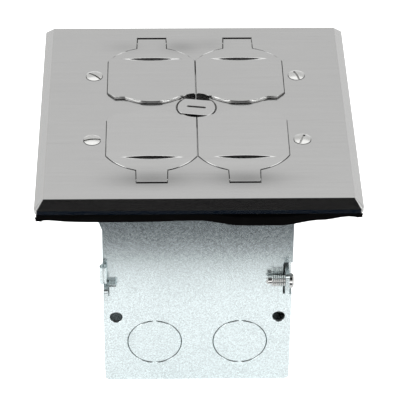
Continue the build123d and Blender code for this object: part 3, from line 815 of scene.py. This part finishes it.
@dataclass(frozen=True)
class ClampScrews:
    """The slotted screw that lies across each side panel, with its thread."""

    pitch: float = 0.8 * MM
    thread_depth: float = 0.3 * MM
    tip: tuple[float, float] = (1.5 * MM, 2.2 * MM)
    tip_end: float = 0.9 * MM
    tip_slope: float = 0.3
    shank: float = 2.4 * MM
    head: tuple[float, float] = (3.0 * MM, 1.8 * MM)
    head_edge: float = 0.6 * MM
    slot: tuple[float, float] = (0.9 * MM, 0.8 * MM)
    sides: int = 40

    def build(self, dresser: Dresser) -> None:
        """Model the front screw along +X, slot it, and copy it to the back."""
        low, high = node_box("clamp_screws")
        radius, height = self.head
        tip_radius, tip_length = self.tip
        y, z = low.y + radius, (low.z + high.z) / 2
        start, end = self.front_ends()
        ring = self.tip_end
        bench = Bench("clamp_screws_threaded", bpy.ops.mesh.primitive_circle_add, radius=ring,
                      vertices=self.sides, fill_type="NGON", rotation=(0, pi / 2, 0), location=(start, y, z))
        bench.pick("FACE", lambda places: True)
        root = self.shank - self.thread_depth
        threaded = end - height - start - tip_length
        turns = round(threaded / self.pitch)
        steps = [(tip_length * self.tip_slope, tip_radius), (tip_length * (1 - self.tip_slope), tip_radius),
                 (0.0, root)]
        for _ in range(turns):
            steps += [(self.pitch / 2, self.shank), (self.pitch / 2, root)]
        steps += [(threaded - turns * self.pitch, root), (0.0, radius), (height - self.head_edge, radius),
                  (self.head_edge, radius - self.head_edge)]
        for step, wide in steps:
            bench.pull(x=step)
            bench.size(1, wide / ring, wide / ring)
            ring = wide
        bench.close()
        width, depth = self.slot
        bench.cut((2 * depth, width, 3 * radius), (end, y, z))
        bench.pick("FACE", lambda places: True)
        bpy.ops.mesh.duplicate()
        bench.turn(180)
        bench.close()
        bench.smooth(35)
        dresser.add(bench.piece, "bright_screw", "housing", "clamp_screws")

    def front_ends(self) -> tuple[float, float]:
        """Where the front screw's tip and head end along X."""
        places = [corner.co.x for corner in frame["nodes"]["clamp_screws"].data.vertices if corner.co.y < 0]
        return min(places), max(places)


@dataclass(frozen=True)
class OvalScrews:
    """The four cover screws, each with a domed head, a rolled edge and a slot of its own angle."""

    spread: tuple[float, float] = (41.67 * MM, 23.02 * MM)
    cone: tuple[float, float, float] = (1.7 * MM, 3.3 * MM, 1.9 * MM)
    rise: float = 0.5 * MM
    rings: int = 9
    sides: int = 48
    slot: tuple[float, float] = (0.85 * MM, 1.0 * MM)
    # Side along X, side along Y and angle of the slot in degrees
    turns: tuple[tuple[int, int, float], ...] = ((-1, -1, 6.5), (1, -1, 70.0), (-1, 1, -42.0), (1, 1, -71.0))

    def build(self, dresser: Dresser) -> None:
        """Model one screw at the origin, then set a turned copy at each place."""
        low, high = node_box("cover_screws")
        plate_top = node_box("cover_plate")[1].z
        stem, radius, depth = self.cone
        bench = Bench("cover_screws_domed", bpy.ops.mesh.primitive_circle_add, radius=stem,
                      vertices=self.sides, fill_type="NGON", location=(0, 0, low.z))
        bench.pick("FACE", lambda places: True)
        dome = (radius ** 2 + self.rise ** 2) / (2 * self.rise)
        steps = [(plate_top - depth - low.z, stem), (depth, radius)]
        level, ring = 0.0, stem
        for number in range(1, self.rings + 1):
            wide = radius * cos(pi / 2 * number / (self.rings + 1))
            height = (dome ** 2 - wide ** 2) ** 0.5 - (dome - self.rise)
            steps.append((height - level, wide))
            level = height
        for step, wide in steps:
            bench.pull(z=step)
            bench.size(wide / ring, wide / ring)
            ring = wide
        bench.close()
        width, deep = self.slot
        bench.cut((3 * radius, width, 2 * deep), (0, 0, plate_top + self.rise))
        bench.pick("FACE", lambda places: True)
        at, done = Vector(), 0.0
        for number, (side_x, side_y, angle) in enumerate(self.turns):
            if number:
                bpy.ops.mesh.duplicate()
            spot = Vector((side_x * self.spread[0], side_y * self.spread[1], 0))
            bench.push(*(spot - at))
            bench.turn(angle - done, spot)
            at, done = spot, angle
        bench.close()
        bench.smooth(35)
        dresser.add(bench.piece, "bright_screw", "housing", "cover_screws")


# Studio

@dataclass(frozen=True)
class Camera:
    """The photograph's pinhole camera."""

    place: tuple[float, float, float] = (-15.45 * MM, -742.10 * MM, 605.89 * MM)
    azimuth: float = -1.33
    elevation: float = 36.51
    roll: float = 0.47
    focal_pixels: float = 2214.44
    frame_pixels: float = 400.0
    sensor: float = 36.0

    def build(self) -> None:
        """Add the camera and make it the scene's."""
        turn, tilt, roll = (radians(a) for a in (self.azimuth, self.elevation, self.roll))
        forward = Vector((-sin(turn) * cos(tilt), cos(turn) * cos(tilt), -sin(tilt)))
        level = Vector((cos(turn), sin(turn), 0))
        down = forward.cross(level)
        right = cos(roll) * level - sin(roll) * down
        down = sin(roll) * level + cos(roll) * down
        data = bpy.data.cameras.new("view")
        data.sensor_width = self.sensor
        data.lens = self.focal_pixels / self.frame_pixels * self.sensor
        camera = bpy.data.objects.new("view", data)
        bpy.context.scene.collection.objects.link(camera)
        camera.matrix_world = Matrix((right, -down, -forward)).transposed().to_4x4()
        camera.location = self.place
        bpy.context.scene.camera = camera


@dataclass(frozen=True)
class Softbox:
    """An area lamp that points at the object, square where it has no height of its own."""

    name: str
    place: tuple[float, float, float]
    size: float
    power: float
    height: float = 0.0
    aim: tuple[float, float, float] = (0, 0, 0.07)

    def build(self) -> None:
        """Add the lamp."""
        data = bpy.data.lights.new(self.name, "AREA")
        data.shape = "RECTANGLE"
        data.size = self.size
        data.size_y = self.height or self.size
        data.energy = self.power
        lamp = bpy.data.objects.new(self.name, data)
        bpy.context.scene.collection.objects.link(lamp)
        lamp.location = self.place
        lamp.rotation_euler = (Vector(self.place) - Vector(self.aim)).to_track_quat("Z", "Y").to_euler()


@dataclass(frozen=True)
class Flag:
    """A dark studio card that only polished surfaces see."""

    name: str
    middle: tuple[float, float, float]
    size: tuple[float, float]
    tilt: float
    colour: tuple[float, float, float]

    def build(self) -> None:
        """Add the card and its matt material."""
        material = bpy.data.materials.new(self.name)
        material.use_nodes = True
        Graph(material.node_tree).surface({"Base Color": tone(self.colour), "Roughness": 1.0,
                                           "Specular IOR Level": 0.0})
        bpy.ops.mesh.primitive_plane_add(size=1)
        card = bpy.context.active_object
        card.name = self.name
        card.scale = (*self.size, 1)
        card.rotation_euler = (radians(self.tilt), 0, 0)
        card.location = self.middle
        card.data.materials.append(material)
        card.visible_camera = False
        card.visible_diffuse = False
        card.visible_shadow = False


@dataclass(frozen=True)
class Studio:
    """Pale floor, white surround, soft lamps and two dark cards in front."""

    floor_size: float = 12.0
    fill: float = 0.5
    floor_tone: float = 0.82
    floor_shine: float = 0.55
    lamps: tuple[Softbox, ...] = (
        Softbox("top_box", (0.0, 0.25, 1.3), 1.6, 7.0),
        Softbox("left_box", (-1.1, -0.5, 0.8), 0.8, 4.0),
        Softbox("right_box", (1.1, -0.4, 0.8), 0.8, 3.0),
        Softbox("low_box", (0.0, -1.7, 0.38), 3.0, 9.0, 0.42),
    )
    cards: tuple[Flag, ...] = (
        Flag("front_card", (0.0, -0.33, 0.62), (1.1, 0.58), 31.0, (0.002, 0.002, 0.002)),
        Flag("floor_card", (0.0, -0.704, 0.0006), (1.6, 1.15), 0.0, (0.001, 0.007, 0.018)),
    )

    def rays(self, graph: Graph) -> list[Wire]:
        """Three wires that are 1 for a camera ray, a gloss ray and a transmission ray."""
        outputs = graph.node("ShaderNodeLightPath").socket.node.outputs
        return [Wire(graph, outputs[f"Is {kind} Ray"]) for kind in ("Camera", "Glossy", "Transmission")]

    def build(self) -> None:
        """Set up the world, the floor, the lamps and the cards."""
        world = bpy.data.worlds.new("surround")
        world.use_nodes = True
        bpy.context.scene.world = world
        graph = Graph(world.node_tree)
        camera, gloss, through = self.rays(graph)
        seen = camera.math("MAXIMUM", gloss).math("MAXIMUM", through)
        strength = seen * (1.0 - self.fill) + self.fill
        shader = graph.node("ShaderNodeBackground", inputs={"Color": tone((1, 1, 1)), "Strength": strength})
        graph.end("ShaderNodeOutputWorld", shader)

        bpy.ops.mesh.primitive_plane_add(size=self.floor_size)
        floor = bpy.context.active_object
        floor.name = "floor"
        made = bpy.data.materials.new("floor")
        made.use_nodes = True
        graph = Graph(made.node_tree)
        matt = graph.node("ShaderNodeBsdfDiffuse", inputs={"Color": tone((1, 1, 1), self.floor_tone)})
        camera, gloss, _ = self.rays(graph)
        glow = graph.node("ShaderNodeEmission", inputs={"Strength": camera + gloss * self.floor_shine})
        both = graph.node("ShaderNodeAddShader", inputs={0: matt, 1: glow})
        graph.end("ShaderNodeOutputMaterial", both)
        floor.data.materials.append(made)

        for item in (*self.lamps, *self.cards):
            item.build()


def main() -> None:
    """Build the dressed object and its studio, piece by piece."""
    logging.basicConfig(level=logging.INFO, format="%(name)s: %(message)s")
    bpy.ops.object.select_all(action="DESELECT")
    bpy.context.scene.view_settings.view_transform = "Standard"
    dresser = Dresser()
    dresser.dress_nodes(frame["record"])
    eased = [CoverPlate("cover_plate", "satin_cover", "housing", 0.15 * MM),
             EasedPiece("lock_spindle", "satin_lock", "lock_body", 0.12 * MM),
             EasedPiece("side_panel_front", "galvanised", "housing", 0.18 * MM),
             EasedPiece("side_panel_back", "galvanised", "housing", 0.15 * MM),
             EasedPiece("box_shell_front", "galvanised", "housing", 0.1 * MM)]
    eased += [Lid(f"lid_{side}", "satin_cover", f"lid_body_{side}", 0.15 * MM)
              for side in ("front_left", "front_right", "back_left", "back_right")]
    for piece in (*eased, FoamGasket(), ClampScrews(), OvalScrews()):
        piece.build(dresser)
    Camera().build()
    Studio().build()


if __name__ == "__main__":
    main()
